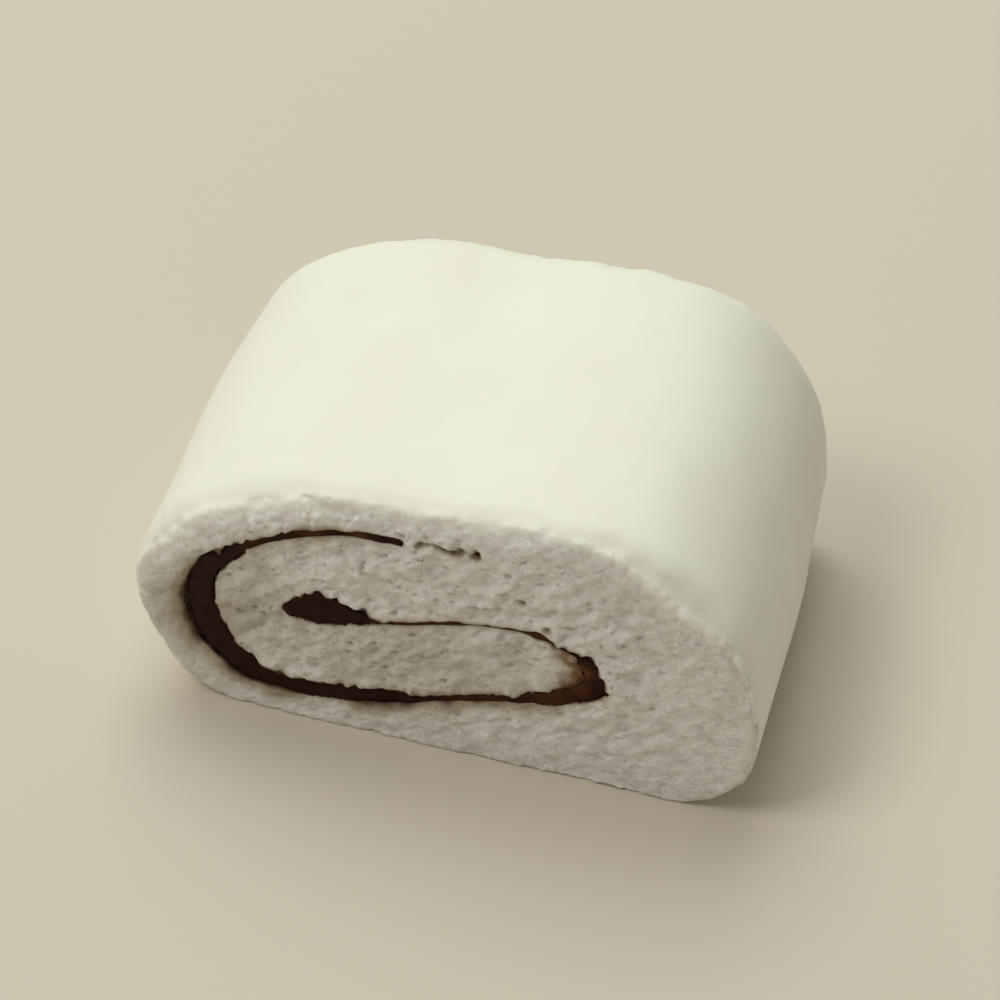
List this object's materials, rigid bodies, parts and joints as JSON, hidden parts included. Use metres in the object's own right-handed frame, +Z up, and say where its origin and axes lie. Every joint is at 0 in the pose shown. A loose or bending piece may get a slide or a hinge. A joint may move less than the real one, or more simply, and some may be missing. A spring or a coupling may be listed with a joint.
{
  "type": "swiss roll cake piece",
  "caption": "Hand-cut length of a white rolled sponge cake lying on its flat side, with a dark paste spiral showing on both cut ends.",
  "frame": {"origin": "centre of the flat underside, below the middle of the cake's box", "axes": "+X across the roll towards its full shoulder, +Y along its axis from the front cut to the back one, +Z up"},
  "size_m": [0.067, 0.0486, 0.0348],
  "materials": {
    "sponge": "satin cream skin, porous at the cuts",
    "paste": "sticky gloss"
  },
  "bodies": {
    "root": {"sponge": "sponge", "paste": "paste"}
  },
  "joints": []
}
